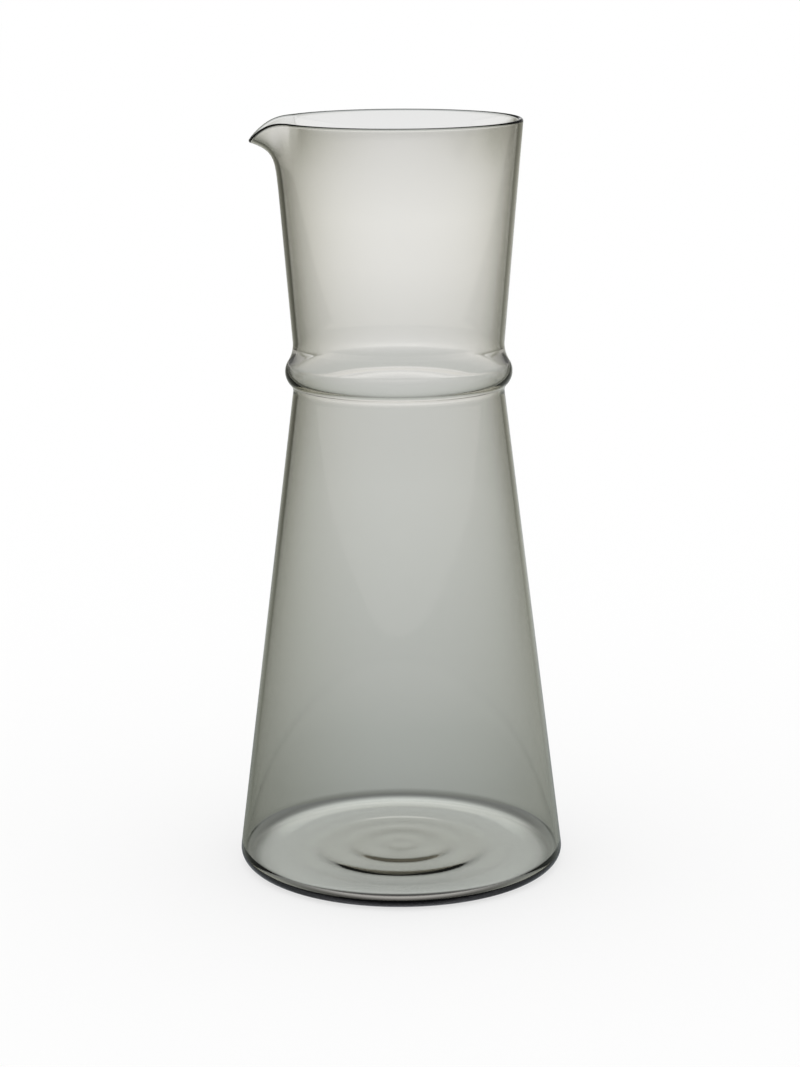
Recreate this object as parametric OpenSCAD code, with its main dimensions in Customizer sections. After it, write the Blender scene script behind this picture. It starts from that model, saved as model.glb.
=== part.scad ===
// Water carafe blown in one piece of smoke-grey glass.
// A conical body stands on a softly rippled base. A hollow collar rings the
// waist, and above it a neck opens out to a fire-polished rim with a pulled spout.
// The origin is the middle of the foot on the table, +Z is up and the spout points to -X.

/* [Overall size] */
// height of the rim above the table
rim_height = 250; // [225:1:275]
// widest diameter of the body, just above the heel
base_diameter = 109.4; // [100:0.2:120]
// outer diameter of the rim, beside the spout
rim_diameter = 81.2; // [76:0.2:90]
// thickness of the blown wall
wall = 1.6; // [1.2:0.1:2.2]

/* [Waist and collar] */
// height of the middle of the collar
collar_height = 167.8; // [150:0.2:180]
// outer diameter at which body and neck would meet if there were no collar
waist_diameter = 68; // [64:0.2:70]
// how far the collar stands out past that diameter, all round
collar_swell = 3.4; // [2.6:0.1:4.2]
// radius of the collar's rounded edge
collar_round = 5.8; // [5:0.1:6.4]
// radius of the groove under the collar
groove_round = 3.4; // [2.4:0.1:4]
// radius of the sweep from the collar up into the neck
neck_sweep = 11.2; // [9:0.1:13]
// thickness of the wall where the collar is widest
collar_wall = 1.3; // [1.1:0.1:1.6]
// height of the collar's inside above the middle of its outside
inner_lift = 0.4; // [0:0.1:0.6]
// radii of the same three roundings on the inside of the wall: edge, groove and sweep
inner_round = 4.1; // [3.5:0.1:4.8]
inner_groove = 5.9; // [4.5:0.1:7]
inner_sweep = 11.1; // [9:0.1:13]

/* [Base] */
// radius of the rounded heel
heel_round = 4; // [3:0.1:5]
// width of the flat ring that rests on the table
foot_ring_width = 4.5; // [3:0.5:6]
// rise of the hollow under the base, at its middle
push_up = 0.3; // [0.2:0.1:0.8]
// height of the inner floor above the table, at its edge
floor_height = 2.4; // [2:0.1:4]
// rise of the inner floor from its edge to its middle
floor_dome = 1.5; // [0.5:0.1:2]
// radius at which that dome has run out into the flat edge of the floor
dome_reach = 45.4; // [40:0.2:48]
// radius of the bowl where the inner floor turns up into the wall
bowl_round = 3.2; // [2.5:0.1:6]
// depth of the rings that shaping left in the inner floor, crest to hollow
ripple_depth = 0.26; // [0.1:0.01:0.35]
// distance from ring to ring
ripple_pitch = 11.5; // [10:0.1:14]
// radius at which the first ring falls most steeply
first_ripple = 17.4; // [15:0.1:19]
// radius at which the rings have faded out
ripple_reach = 38.2; // [34:0.2:44]

/* [Spout] */
// how far the lip of the spout is pulled out past the rim
spout_reach = 9; // [6:0.1:11]
// how far the lip of the spout hangs below the rim
spout_drop = 6.4; // [4:0.1:8]
// length of neck, down from the rim, that the pull has shaped
spout_length = 28; // [24:1:32]
// angle from the middle of the spout to where the rim runs round again
spout_half_angle = 31.5; // [26:0.5:36]

/* [Hidden] */
// finest facets of arcs seen in section, and of the whole turn
arc_steps = 12;
$fn = 180;
waist_radius = waist_diameter / 2;
base_radius = base_diameter / 2;
rim_radius = rim_diameter / 2;
collar_radius = waist_radius + collar_swell;
half_wall = wall / 2;

// slopes of the outer faces: radius lost or gained for each millimetre of height
body_slope = (waist_radius - base_radius) / (collar_height - heel_round);
neck_slope = (rim_radius - waist_radius) / (rim_height - collar_height);
body_lean = atan(body_slope);
neck_lean = atan(neck_slope);

// the spout patch starts at this height, on this half angle
patch_foot = rim_height - spout_length;
patch_half_angle = spout_half_angle + 3;
// columns across the patch, rows up its mid-surface and facets over the bead
patch_columns = 58;
patch_rows = 20;
bead_steps = 9;
column_step = 2 * patch_half_angle / patch_columns;
// skin by which the patch laps over the plain neck, and depth to which its edges sink
// into the wall
seam_lap = 0.02;
seam_sink = 0.08;
// powers that shape the pull: across the spout, how soon it carries the wall outwards on
// the way up, and how soon it lets the lip hang
across_power = 2;
reach_power = 6;
drop_power = 2;
// step at which the mid-surface is probed for its direction
probe = wall / 100;
probe_angle = 0.02;

// outer radius of the body and of the neck at height z, as straight tapers
function body_radius(z) = waist_radius + body_slope * (z - collar_height);
function neck_radius(z) = waist_radius + neck_slope * (z - collar_height);

// points of an arc about a centre, from angle a to angle b; an arc that goes on from
// the end of another leaves out its first point
function arc(centre, r, a, b, first = 0) =
    [for (i = [first : arc_steps]) let (turn = a + (b - a) * i / arc_steps)
        centre + r * [cos(turn), sin(turn)]];

// centre of the arc that blends a taper, set in by depth, into the collar's round about a
// centre: it lies at distance r outside the taper and at distance r beyond the round; side
// is -1 below and 1 above
function blend_centre(centre, round, depth, slope, r, side) =
    let (lean = atan(slope),
         along = [sin(lean), cos(lean)],
         start = [waist_radius, collar_height] + (r - depth) * [cos(lean), -sin(lean)],
         gap = start - centre,
         b = gap * along,
         c = gap * gap - pow(round + r, 2))
    start + along * (-b + side * sqrt(b * b - c));
function direction(from, to) = atan2(to[1] - from[1], to[0] - from[0]);

// collar and its two blends, as the section of one skin of the wall
function collar_section(centre, round, depth, groove, sweep) =
    let (below = blend_centre(centre, round, depth, body_slope, groove, -1),
         above = blend_centre(centre, round, depth, neck_slope, sweep, 1),
         groove_turn = direction(centre, below),
         sweep_turn = direction(centre, above))
    concat(
        arc(below, groove, 180 - body_lean, 180 + groove_turn),
        arc(centre, round, groove_turn, sweep_turn, 1),
        arc(above, sweep, 180 + sweep_turn, 180 - neck_lean, 1));
outer_collar = collar_section(
    [collar_radius - collar_round, collar_height], collar_round, 0, groove_round, neck_sweep);
inner_collar = collar_section(
    [collar_radius - collar_wall - inner_round, collar_height + inner_lift],
    inner_round, wall, inner_groove, inner_sweep);

// heel: rounds the foot into the tapering body
heel_centre = [body_radius(heel_round) - heel_round / cos(body_lean), heel_round];
foot_inner_radius = heel_centre[0] - foot_ring_width;

// bowl: rounds the inner floor into the inside of the wall
bowl_height = floor_height + bowl_round;
bowl_centre = [body_radius(bowl_height) - (wall + bowl_round) / cos(body_lean), bowl_height];

// inner floor: a low dome, steepest some way out, with rings that fade out towards the
// middle and the edge; a weak second wave makes each ring steeper on its outer side
dome_power = 1.6;
second_wave_share = 0.1;
function dome(r) = pow(cos(90 * pow(min(1, r / dome_reach), dome_power)), 2);
function fade(r) = let (share = min(1, r / ripple_reach)) 4 * share * (1 - share);
function wave(turn) = sin(turn) + second_wave_share * sin(2 * turn);
function floor_level(r) =
    floor_height + floor_dome * dome(r)
        - ripple_depth / 2 * wave(360 * (r - first_ripple) / ripple_pitch) * fade(r);
floor_steps = 60;

// hollow under the base, as one shallow arc through the middle and the foot ring
hollow_radius = (pow(foot_inner_radius, 2) + pow(push_up, 2)) / (2 * push_up);
hollow_span = asin(foot_inner_radius / hollow_radius);

// section of the whole vessel before its spout is pulled: from the middle of the base up
// the outside, over the rim's bead, and down the inside
function vessel_section() = concat(
    arc([0, push_up - hollow_radius], hollow_radius, 90, 90 - hollow_span),
    arc(heel_centre, heel_round, -90, -body_lean),
    outer_collar,
    arc(plain_mid(half_wall), half_wall, -neck_lean, 180 - neck_lean),
    reversed(inner_collar),
    reversed(arc(bowl_centre, bowl_round, -90, -body_lean)),
    [for (i = [floor_steps - 1 : -1 : 0]) let (r = bowl_centre[0] * i / floor_steps) [r, floor_level(r)]]);

function reversed(list) = [for (i = [len(list) - 1 : -1 : 0]) list[i]];

// middle of the wall at the neck, seen from the spout's angle a, at distance d down the
// neck from the rim; the pull carries it outwards and lets it hang
function plain_mid(d) =
    let (z = rim_height - d) [neck_radius(z) - half_wall / cos(neck_lean), z];
function across(a) = pow(cos(90 * min(1, abs(a) / spout_half_angle)), across_power);
function up(d) = max(0, 1 - d / spout_length);
function mid(a, d) =
    let (m = plain_mid(d),
         r = m[0] + spout_reach * across(a) * pow(up(d), reach_power),
         z = m[1] - spout_drop * pow(across(a) * up(d), drop_power))
    [-r * cos(a), -r * sin(a), z];
function unit(v) = v / norm(v);
function up_wall(a, d) = unit(mid(a, d - probe) - mid(a, d + probe));
function out_of_wall(a, d) =
    unit(cross(mid(a + probe_angle, d) - mid(a - probe_angle, d), up_wall(a, d)));

// closed section through the wall in column j: up the outside, over the bead, down the
// inside; the outermost columns and the lowest row are sunk in the wall
function row_depth(i) = half_wall + (spout_length - half_wall) * pow(1 - i / patch_rows, 1.3);
function skin(i, j) =
    i == 0 || j == 0 || j == patch_columns ? half_wall - seam_sink : half_wall + seam_lap;
function patch_section(j) =
    let (a = column_step * j - patch_half_angle,
         depths = [for (i = [0 : patch_rows - 1]) row_depth(i)],
         offsets = [for (i = [0 : patch_rows - 1]) skin(i, j) * out_of_wall(a, depths[i])],
         top = mid(a, half_wall),
         bead = skin(patch_rows, j),
         n = out_of_wall(a, half_wall),
         u = up_wall(a, half_wall))
    concat(
        [for (i = [0 : patch_rows - 1]) mid(a, depths[i]) + offsets[i]],
        [for (i = [0 : bead_steps]) let (turn = 180 * i / bead_steps) top + bead * (cos(turn) * n + sin(turn) * u)],
        [for (i = [patch_rows - 1 : -1 : 0]) mid(a, depths[i]) - offsets[i]]);

// part of the rim that the pull has shaped: a loft through the sections
module spout_patch() {
    sections = [for (j = [0 : patch_columns]) patch_section(j)];
    n = len(sections[0]);
    points = [for (s = sections) each s];
    strips = [for (j = [0 : patch_columns - 1]) for (i = [0 : n - 1])
        let (a = j * n + i, b = j * n + (i + 1) % n, c = a + n, d = b + n)
        each [[a, b, d], [a, d, c]]];
    first_end = [for (i = [0 : n / 2 - 2]) each [[i, n - 1 - i, n - 2 - i], [i, n - 2 - i, i + 1]]];
    last = patch_columns * n;
    last_end = [for (f = first_end) [f[0] + last, f[2] + last, f[1] + last]];
    polyhedron(points, concat(strips, first_end, last_end), convexity = 8);
}

// room for the patch in the plain neck, a little smaller than the patch all round
module spout_notch() {
    notch_half_angle = patch_half_angle - 1.5 * column_step;
    rotate([0, 0, 180 - notch_half_angle])
        rotate_extrude(angle = 2 * notch_half_angle)
            translate([waist_radius / 2, rim_height - row_depth(2)])
                square([rim_radius, spout_length]);
}

// the whole carafe is one piece of glass
module glass_body() {
    color([0.55, 0.57, 0.54, 0.5])
        union() {
            difference() {
                rotate_extrude() polygon(vessel_section());
                spout_notch();
            }
            spout_patch();
        }
}

glass_body();
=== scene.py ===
import math

import bmesh
import bpy
from mathutils import Matrix, Vector


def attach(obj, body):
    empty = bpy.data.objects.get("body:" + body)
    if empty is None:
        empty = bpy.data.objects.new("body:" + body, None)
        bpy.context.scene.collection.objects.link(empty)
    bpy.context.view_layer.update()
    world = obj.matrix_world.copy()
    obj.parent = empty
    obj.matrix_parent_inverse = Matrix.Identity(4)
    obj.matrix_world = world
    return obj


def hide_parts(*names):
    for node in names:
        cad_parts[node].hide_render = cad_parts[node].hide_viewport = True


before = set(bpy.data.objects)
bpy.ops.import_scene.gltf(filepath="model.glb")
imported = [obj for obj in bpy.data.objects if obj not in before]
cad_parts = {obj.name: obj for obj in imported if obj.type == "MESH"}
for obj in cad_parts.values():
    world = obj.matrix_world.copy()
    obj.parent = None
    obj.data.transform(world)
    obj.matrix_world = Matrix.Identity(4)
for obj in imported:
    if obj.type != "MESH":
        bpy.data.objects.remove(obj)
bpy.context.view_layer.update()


# The glass. The whole carafe is one bubble of smoke-grey glass, blown into a turning
# mould: a conical body on a thick base, a hollow collar at the waist and an open neck.
# The rim is melted round, and the spout is pulled out of it while it is soft.

MM = 0.001
rim_height = 250.0
rim_radius = 40.6
base_radius = 54.7
waist_radius = 34.0
wall = 1.6
half_wall = wall / 2

collar_height = 167.8
collar_radius = 37.4
collar_round = 5.8
groove_round = 3.4
neck_sweep = 11.2
collar_wall = 1.3
inner_lift = 0.4
inner_round = 4.1
inner_groove = 5.9
inner_sweep = 11.1

heel_round = 4.0
foot_ring_width = 4.5
push_up = 0.3
floor_height = 2.4
floor_dome = 1.5
dome_power = 1.6
dome_reach = 45.4
bowl_round = 3.2
ring_depth = 0.26
ring_pitch = 11.5
first_ring = 17.4
ring_reach = 38.2
second_wave_share = 0.1

turn_steps = 240
floor_steps = 96
neck_steps = 34
body_steps = 26
hollow_steps = 24
foot_steps = 4
heel_steps = 14
bowl_steps = 16
bead_steps = 10
groove_steps = 10
collar_steps = 16
sweep_steps = 12
weld_gap = 0.0000005

body_slope = (waist_radius - base_radius) / (collar_height - heel_round)
neck_slope = (rim_radius - waist_radius) / (rim_height - collar_height)
body_lean = math.degrees(math.atan(body_slope))
neck_lean = math.degrees(math.atan(neck_slope))
body_cos = math.cos(math.radians(body_lean))
neck_cos = math.cos(math.radians(neck_lean))


def polar(centre, radius, turn):
    turn = math.radians(turn)
    return Vector((centre[0] + radius * math.cos(turn), centre[1] + radius * math.sin(turn)))


def arc(centre, radius, start, end, steps):
    return [polar(centre, radius, start + (end - start) * i / steps) for i in range(steps + 1)]


def straight(start, end, steps):
    """Points between two ends, without the ends, closer together near them."""
    shares = [0.5 - 0.5 * math.cos(math.pi * i / steps) for i in range(1, steps)]
    return [Vector(start).lerp(Vector(end), share) for share in shares]


def body_radius(z):
    return waist_radius + body_slope * (z - collar_height)


def neck_radius(z):
    return waist_radius + neck_slope * (z - collar_height)


def blend_centre(centre, rounding, depth, slope, radius, side):
    """Centre of the arc that runs from a taper, set in by depth, into the collar's round."""
    lean = math.atan(slope)
    along = Vector((math.sin(lean), math.cos(lean)))
    outwards = Vector((math.cos(lean), -math.sin(lean)))
    start = Vector((waist_radius, collar_height)) + (radius - depth) * outwards
    gap = start - centre
    b = gap.dot(along)
    c = gap.dot(gap) - (rounding + radius) ** 2
    return start + along * (side * math.sqrt(b * b - c) - b)


def direction(start, end):
    return math.degrees(math.atan2(end[1] - start[1], end[0] - start[0]))


def collar_section(centre, rounding, depth, groove, sweep):
    """The collar and its two blends, in one skin of the wall."""
    below = blend_centre(centre, rounding, depth, body_slope, groove, -1)
    above = blend_centre(centre, rounding, depth, neck_slope, sweep, 1)
    groove_turn, sweep_turn = direction(centre, below), direction(centre, above)
    return (arc(below, groove, 180 - body_lean, 180 + groove_turn, groove_steps)
            + arc(centre, rounding, groove_turn, sweep_turn, collar_steps)[1:]
            + arc(above, sweep, 180 + sweep_turn, 180 - neck_lean, sweep_steps)[1:])


heel_centre = Vector((body_radius(heel_round) - heel_round / body_cos, heel_round))
foot_inner = heel_centre[0] - foot_ring_width
hollow_radius = (foot_inner ** 2 + push_up ** 2) / (2 * push_up)
hollow_span = math.degrees(math.asin(foot_inner / hollow_radius))
hollow = arc((0, push_up - hollow_radius), hollow_radius, 90, 90 - hollow_span, hollow_steps)

bowl_height = floor_height + bowl_round
bowl_centre = Vector((body_radius(bowl_height) - (wall + bowl_round) / body_cos, bowl_height))
bowl = arc(bowl_centre, bowl_round, -90, -body_lean, bowl_steps)


def floor_level(r):
    """The inner floor: a low dome, with rings that fade out towards its edge."""
    dome = math.cos(math.pi / 2 * min(1, r / dome_reach) ** dome_power) ** 2
    share = min(1, r / ring_reach)
    turn = math.tau * (r - first_ring) / ring_pitch
    ring = (math.sin(turn) + second_wave_share * math.sin(2 * turn)) * 4 * share * (1 - share)
    return floor_height + floor_dome * dome - ring_depth / 2 * ring


floor_radii = (bowl[0][0] * i / floor_steps for i in range(floor_steps))
inner_floor = [Vector((r, floor_level(r))) for r in floor_radii]
bead_height = rim_height - half_wall
rim_middle = Vector((neck_radius(bead_height) - half_wall / neck_cos, bead_height))
bead = arc(rim_middle, half_wall, -neck_lean, 180 - neck_lean, bead_steps)

outside = arc(heel_centre, heel_round, -90, -body_lean, heel_steps)
outer_centre = Vector((collar_radius - collar_round, collar_height))
outer_collar = collar_section(outer_centre, collar_round, 0, groove_round, neck_sweep)
inner_centre = Vector((collar_radius - collar_wall - inner_round, collar_height + inner_lift))
inner_collar = collar_section(inner_centre, inner_round, wall, inner_groove, inner_sweep)[::-1]
inner_bowl = bowl[::-1]
section = (
    hollow
    + straight(hollow[-1], outside[0], foot_steps) + outside
    + straight(outside[-1], outer_collar[0], body_steps) + outer_collar
    + straight(outer_collar[-1], bead[0], neck_steps) + bead
    + straight(bead[-1], inner_collar[0], neck_steps) + inner_collar
    + straight(inner_collar[-1], inner_bowl[0], body_steps) + inner_bowl
    + inner_floor[::-1])

glass_mesh = bmesh.new()
points = [glass_mesh.verts.new((-r * MM, 0, z * MM)) for r, z in section]
edges = [glass_mesh.edges.new(pair) for pair in zip(points, points[1:])]
bmesh.ops.spin(glass_mesh, geom=points + edges, cent=(0, 0, 0), axis=(0, 0, 1),
               angle=math.tau, steps=turn_steps, use_merge=True, use_duplicate=False)
bmesh.ops.remove_doubles(glass_mesh, verts=glass_mesh.verts[:], dist=weld_gap)
bmesh.ops.recalc_face_normals(glass_mesh, faces=glass_mesh.faces[:])

# The pull. The soft rim is drawn out and down over a short arc, and the neck below it
# follows, less and less, down to the length that was hot.
spout_reach = 9.0
spout_drop = 6.4
spout_length = 28.0
spout_half_angle = math.radians(31.5)
reach_power = 6
drop_power = 2
small_step = 0.01
small_turn = 0.0004


def wall_middle(turn, depth):
    """Middle of the wall at an angle from the spout and a distance down the neck."""
    z = rim_height - depth
    r = neck_radius(z) - half_wall / neck_cos
    across = math.cos(math.pi / 2 * min(1, abs(turn) / spout_half_angle)) ** 2
    share = max(0, 1 - depth / spout_length)
    r += spout_reach * across * share ** reach_power
    drop = spout_drop * (across * share) ** drop_power
    return Vector((-r * math.cos(turn), -r * math.sin(turn), z - drop))


def wall_frame(turn, depth):
    """Middle of the wall there, with the directions out of it and up along it."""
    up = wall_middle(turn, depth - small_step) - wall_middle(turn, depth + small_step)
    up.normalize()
    across = wall_middle(turn + small_turn, depth) - wall_middle(turn - small_turn, depth)
    return wall_middle(turn, depth), across.cross(up).normalized(), up


neck_normal = Vector((neck_cos, -math.sin(math.radians(neck_lean))))
neck_up = Vector((-neck_normal[1], neck_normal[0]))
for vert in glass_mesh.verts:
    x, y, z = vert.co / MM
    if z < rim_height - spout_length:
        continue
    turn = math.atan2(-y, -x)
    if abs(turn) >= spout_half_angle:
        continue
    place = Vector((math.hypot(x, y), z))
    depth = max(half_wall, half_wall - (place - rim_middle).dot(neck_up) * neck_up[1])
    plain_height = rim_height - depth
    plain = Vector((neck_radius(plain_height) - half_wall / neck_cos, plain_height))
    offset = place - plain
    middle, out, up = wall_frame(turn, depth)
    vert.co = (middle + out * offset.dot(neck_normal) + up * offset.dot(neck_up)) * MM

for face in glass_mesh.faces:
    face.smooth = True
glass_data = bpy.data.meshes.new("glass_body_blown")
glass_mesh.to_mesh(glass_data)
glass_mesh.free()
glass = bpy.data.objects.new("glass_body_blown", glass_data)
bpy.context.scene.collection.objects.link(glass)


class Value:
    """A shader socket that Python's own operators join to others by Math nodes."""

    def __init__(self, tree, socket):
        self.tree, self.socket = tree, socket

    def math(self, operation, *others):
        return node(self.tree, "ShaderNodeMath", {"operation": operation}, self, *others)[0]

    def __add__(self, other):
        return self.math("ADD", other)

    def __radd__(self, other):
        return self.math("ADD", other)

    def __mul__(self, other):
        return self.math("MULTIPLY", other)

    def __rmul__(self, other):
        return self.math("MULTIPLY", other)

    def __sub__(self, other):
        return self.math("SUBTRACT", other)

    def __rsub__(self, other):
        return (self * -1) + other

    def __truediv__(self, other):
        return self.math("DIVIDE", other)

    def __rtruediv__(self, other):
        return node(self.tree, "ShaderNodeMath", {"operation": "DIVIDE"}, other, self)[0]

    def __gt__(self, other):
        return self.math("GREATER_THAN", other)

    def __lt__(self, other):
        return self.math("LESS_THAN", other)


def fill_stops(colour_ramp, stops):
    for position, colour in stops[2:]:
        colour_ramp.elements.new(position)
    for element, (position, colour) in zip(colour_ramp.elements, stops):
        element.position = position
        element.color = (*colour, 1)


def node(tree, kind, settings, *values, **named):
    """A node with its settings made first and then its sockets filled or linked."""
    made = tree.nodes.new(kind)
    for name, setting in settings.items():
        if name == "stops":
            fill_stops(made.color_ramp, setting)
        else:
            setattr(made, name, setting)
    for key, value in list(enumerate(values)) + list(named.items()):
        socket = made.inputs[key] if isinstance(key, int) else [
            each for each in made.inputs if each.enabled and each.name == key.replace("_", " ")][0]
        if isinstance(value, Value):
            tree.links.new(value.socket, socket)
        elif value is not None:
            socket.default_value = value
    return [Value(tree, socket) for socket in made.outputs]


# The tint is much paler than the real glass, and a little warm. In this scene most of the
# smoke-grey comes from painted shade on the table and from the room below, and little from the
# glass.
WHITE = (1, 1, 1, 1)
smoke = bpy.data.materials.new("smoke_glass_blown")
smoke.use_nodes = True
tree = smoke.node_tree
tree.nodes.clear()
place = node(tree, "ShaderNodeTexCoord", {})[3]
waves = node(tree, "ShaderNodeTexNoise", {}, Vector=place, Scale=14.0, Detail=1.0)[0]
ripple = node(tree, "ShaderNodeBump", {}, Strength=0.02, Distance=0.01, Height=waves)[0]
clear = node(tree, "ShaderNodeBsdfPrincipled", {}, Base_Color=WHITE, Roughness=0.0, IOR=1.5,
             Transmission_Weight=1.0, Normal=ripple)[0]
tint = node(tree, "ShaderNodeVolumeAbsorption", {}, Color=(0.503, 0.432, 0.21, 1),
            Density=100.0)[0]
node(tree, "ShaderNodeOutputMaterial", {}, Surface=clear, Volume=tint)
glass_data.materials.append(smoke)

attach(glass, "root")
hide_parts("glass_body")


# The table. A pale table top, wide enough to fill the view from every side. Seen directly it is
# plain. Seen through the glass, or mirrored in it, its brightness is set at each distance so that
# the carafe looks as in the photograph: this is painted light and shade for the glass, such as its
# dark edges and the shading down its body, and it isn't a plain table.

table_radius = 6.0
table_gap = 0.0003
table_mesh = bmesh.new()
bmesh.ops.create_circle(table_mesh, cap_ends=True, segments=96, radius=table_radius,
                        matrix=Matrix.Translation((0, 0, -table_gap)))
table_data = bpy.data.meshes.new("table_top")
table_mesh.to_mesh(table_data)
table_mesh.free()
table = bpy.data.objects.new("table_top", table_data)
bpy.context.scene.collection.objects.link(table)

# Each stop is a distance from the carafe's axis in metres, a painted brightness and a coolness.
under_glass = 0.0605
near_start, near_end = 0.04, 0.07
far_start, far_end = 0.04, 4.0
behind_it = (
    (0.040, 0.79, 1), (0.0458, 0.80, 1), (0.0470, 0.95, 1), (0.048, 1.0, 1),
    (0.0515, 1.0, 1), (0.0544, 0.82, 1), (0.056, 0.63, 1), (0.0574, 0.46, 1),
    (0.0586, 0.30, 1), (0.0605, 0.22, 1), (0.062, 0.27, 1), (0.0635, 0.37, 1),
    (0.070, 0.415, 1), (0.091, 0.445, 1), (0.142, 0.49, 0.9), (0.211, 0.56, 0.7),
    (0.308, 0.615, 0.65), (0.45, 0.675, 0.55), (0.58, 0.708, 0.45), (0.70, 0.707, 0.4),
    (0.85, 0.72, 0.3), (1.15, 0.83, 0.1), (1.5, 0.96, 0), (1.85, 1.0, 0),
    (2.62, 0.885, 0), (2.75, 0.85, 0), (2.80, 0.80, 0), (2.86, 0.74, 0),
    (2.94, 0.92, 0), (3.3, 0.90, 0))
beside_it = (
    (0.0445, 0.79, 1), (0.0475, 0.70, 1), (0.050, 0.38, 1), (0.056, 0.30, 1),
    (0.061, 0.25, 1))
before_it = (
    (0.040, 0.72, 1), (0.0443, 0.73, 1), (0.0463, 0.19, 1), (0.0478, 0.05, 0),
    (0.0495, 0.12, 0), (0.0506, 0.25, 0), (0.0519, 0.42, 0), (0.0529, 0.60, 0),
    (0.0545, 0.40, 0), (0.056, 0.10, 0))


def light_path(tree):
    return {value.socket.name: value for value in node(tree, "ShaderNodeLightPath", {})}


def spread(tree, value, low, high, first, last, smooth=False):
    """First to last as the value goes from low to high, and no further."""
    settings = {"interpolation_type": "SMOOTHSTEP"} if smooth else {}
    return node(tree, "ShaderNodeMapRange", settings, value, low, high, first, last)[0]


def mix(tree, share, first, second):
    return node(tree, "ShaderNodeMix", {"data_type": "RGBA"}, share, A=first, B=second)[2]


def shade(brightness, cool):
    """The colour of a stop: a little blue, with less red the higher its coolness."""
    return (brightness * (1.027 - 0.03 * cool), brightness * (1.04 + 0.035 * cool),
            brightness * (1.07 + 0.01 * cool))


def log_ramp(tree, reach, shades, start, end):
    """The colour at each distance, with the stops placed by its logarithm."""
    along = spread(tree, reach.math("LOGARITHM", math.e), math.log(start), math.log(end), 0, 1)
    stops = [(math.log(r / start) / math.log(end / start), shade(brightness, cool))
             for r, brightness, cool in shades]
    return node(tree, "ShaderNodeValToRGB", {"stops": stops}, along)[0]


pale_painted_table = bpy.data.materials.new("pale_table_painted_shade")
pale_painted_table.use_nodes = True
tree = pale_painted_table.node_tree
tree.nodes.clear()
place = node(tree, "ShaderNodeTexCoord", {})[3]
reach = node(tree, "ShaderNodeVectorMath", {"operation": "LENGTH"}, place)[1]
x, y = node(tree, "ShaderNodeSeparateXYZ", {}, place)[:2]
path = light_path(tree)

# Narrowing. Painted shade: as the glass shows it, the table is dimmer to the left, to the right
# and in front of the carafe: to half where two walls are looked through, to 0.4 through one, and
# to 0.06 in reflections.
leftward = 0.2
lobe_start = 0.01
lobe_growth = 0.18
front_fade = 20
edge_power = 5
two_walls_least = 0.5
one_wall_less = 0.1
mirrored_least = 0.06
corner_from, corner_to = 2.1, 2.75
corner_growth = 4.5
corner_most = 0.3
painted_backdrop_from, painted_backdrop_to = 2.78, 2.95
painted_backdrop_full, painted_backdrop_end = 0.3, 0.7
behind = y.math("MAXIMUM", 0)
front = (y * -1).math("MAXIMUM", 0)
aside = x.math("ABSOLUTE") - leftward * x
width = 1 / (1 + aside * aside / (lobe_start + lobe_growth * behind) + front_fade * front)
reflected = path["Glossy Depth"] > 0.5
one_wall = path["Transmission Depth"] < 2.5
least = two_walls_least - one_wall_less * one_wall
seen_through = spread(tree, width.math("POWER", edge_power), 0, 1, least, 1)
seen_on = mirrored_least + (1 - mirrored_least) * width * width
wide = spread(tree, reflected, 0, 1, seen_through, seen_on)
# Painted light and shade: far behind the carafe its corners are darker, and from about 2.8 m on a
# strip in the middle is painted at full brightness in place of a backdrop.
far_off = spread(tree, behind, corner_from, corner_to, 0, 1, smooth=True)
far_corner = far_off * (corner_growth * x * x).math("MINIMUM", corner_most)
painted_backdrop = (spread(tree, behind, painted_backdrop_from, painted_backdrop_to, 0, 1, smooth=True)
            * spread(tree, x.math("ABSOLUTE"), painted_backdrop_full, painted_backdrop_end, 1, 0))
wide = spread(tree, painted_backdrop, 0, 1, wide * (1 - far_corner), 1)

# Distance. The stops behind, beside and in front of the carafe run into one another round it. The
# painted shade is slightly yellow where the table is dim, and the table under the carafe is
# painted slightly darker and bluer.
back_from, back_to = 0.15, 0.6
front_from, front_to = 0.5, 0.97
foot_inside, foot_edge, foot_past = 0.056, 0.058, 0.066
front_shift = 0.15
back_shift = 0.12
painted_dim_tint = (1, 1, 0.8, 1)
painted_under_tint = (0.955, 0.955, 0.99, 1)
turn = y / reach
back_share = spread(tree, turn, back_from, back_to, 0, 1, smooth=True)
front_share = spread(tree, turn * -1, front_from, front_to, 0, 1, smooth=True)
sideways = (1 - turn * turn) * spread(tree, reach, foot_inside, foot_past, 1, 0)
nearer = reach * (1 - front_shift * sideways)
before = log_ramp(tree, nearer, before_it, near_start, near_end)
beside = log_ramp(tree, reach, beside_it, near_start, near_end)
close = mix(tree, front_share, beside, before)
further = reach * (1 + back_shift * sideways)
behind_far = log_ramp(tree, further, behind_it, far_start, far_end)
deep = mix(tree, (1 - back_share) * (reach < under_glass), behind_far, close)
painted_tints = mix(tree, wide, painted_dim_tint, WHITE)
painted_tints = mix(tree, reach < under_glass, painted_tints, painted_under_tint)
deep = node(tree, "ShaderNodeVectorMath", {"operation": "MULTIPLY"}, deep, painted_tints)[0]

# Strength. The painted narrowing starts past the foot, a painted sheen makes the table brighter at
# a low angle, and what the base mirrors from under itself is painted dimmer.
painted_sheen_from, painted_sheen_to = 0.3, 0.65
painted_sheen_least = 0.4
mirrored_share = 0.45
glow_share = 0.65
past_foot = spread(tree, reach, foot_edge, foot_past, 0, 1)
facing = node(tree, "ShaderNodeLayerWeight", {}, 0.5)[1]
painted_sheen = spread(tree, facing, painted_sheen_from, painted_sheen_to, painted_sheen_least, 1, smooth=True)
fall = spread(tree, past_foot, 0, 1, 1, wide * painted_sheen)
mirrored = reflected * (path["Transmission Depth"] > 2.5) * (reach < foot_edge)
dim = spread(tree, mirrored, 0, 1, fall, mirrored_share * fall)
fitted = node(tree, "ShaderNodeVectorMath", {"operation": "SCALE"}, deep, Scale=dim)[0]
# Painted light and shade: for rays that pass through or bounce off the glass, the table glows with
# these colours instead of being lit.
through = node(tree, "ShaderNodeEmission", {}, Color=fitted)[0]

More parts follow.
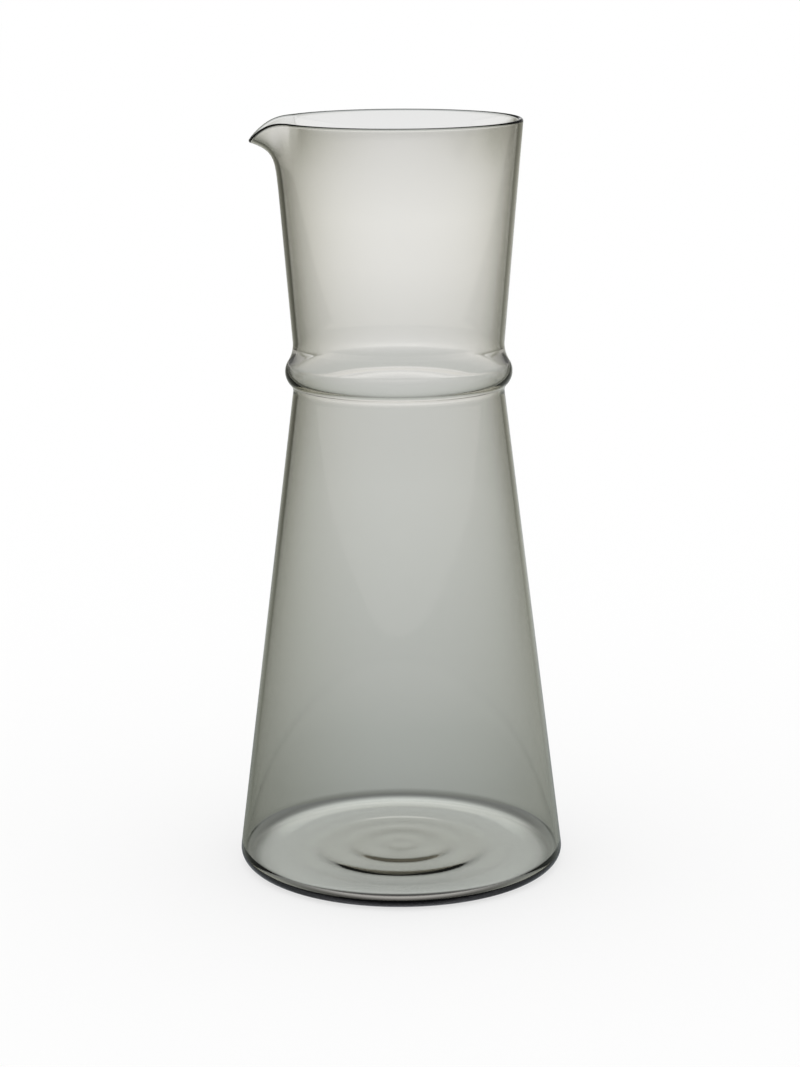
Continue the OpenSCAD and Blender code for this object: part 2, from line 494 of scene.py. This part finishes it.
chalk = node(tree, "ShaderNodeBsdfDiffuse", {}, Color=WHITE)[0]
glow = node(tree, "ShaderNodeEmission", {}, Color=WHITE)[0]
matt = node(tree, "ShaderNodeMixShader", {}, glow_share, chalk, glow)[0]
bent = path["Is Transmission Ray"].math("MAXIMUM", path["Is Glossy Ray"])
both = node(tree, "ShaderNodeMixShader", {}, bent, matt, through)[0]
node(tree, "ShaderNodeOutputMaterial", {}, Surface=both)
table_data.materials.append(pale_painted_table)


# The light. An even white room, as the camera and the table see it. Through the glass or
# in its reflections the room is dark but for a lit wall behind the carafe and, through
# the glass alone, a low band all round. So it isn't a plain room either.

lit_wall_height = 0.12
band_height = 0.05
band_strength = 0.6
dark_share = 0.06
wall_narrowing = 81
world = bpy.data.worlds.new("white_room")
world.use_nodes = True
bpy.context.scene.world = world
tree = world.node_tree
tree.nodes.clear()
around = node(tree, "ShaderNodeTexCoord", {})[0]
towards, up = node(tree, "ShaderNodeSeparateXYZ", {}, around)[1:]
path = light_path(tree)
bent = path["Is Transmission Ray"].math("MAXIMUM", path["Is Glossy Ray"])
fade = 1 + wall_narrowing * (1 - towards)
lit_wall = 1 / (fade * (1 + (up / lit_wall_height).math("POWER", 4)))
band = band_strength * path["Is Transmission Ray"] / (1 + (up / band_height).math("POWER", 4))
lit = dark_share + (1 - dark_share) * lit_wall.math("MAXIMUM", band)
strength = spread(tree, bent, 0, 1, 1, lit)
air = node(tree, "ShaderNodeBackground", {}, Color=strength)[0]
node(tree, "ShaderNodeOutputWorld", {}, Surface=air)


# The camera. It stands a little above the rim, most of a metre away, and looks down at
# the carafe as the photograph does.

photo_width = 800.0
focal_pixels = 2740.0
look_down = 0.2308
roll = -0.0052
camera_place = (0.0001, -0.890, 0.3217)
camera_data = bpy.data.cameras.new("view")
camera_data.sensor_fit = "HORIZONTAL"
camera_data.sensor_width = 36.0
camera_data.lens = focal_pixels * camera_data.sensor_width / photo_width
camera_data.clip_start = 0.01
camera_data.clip_end = 50
camera = bpy.data.objects.new("view", camera_data)
camera.matrix_world = (
    Matrix.Translation(camera_place)
    @ Matrix.Rotation(math.radians(90) - look_down, 4, "X")
    @ Matrix.Rotation(roll, 4, "Z"))
bpy.context.scene.collection.objects.link(camera)
bpy.context.scene.camera = camera
bpy.context.scene.view_settings.view_transform = "Standard"
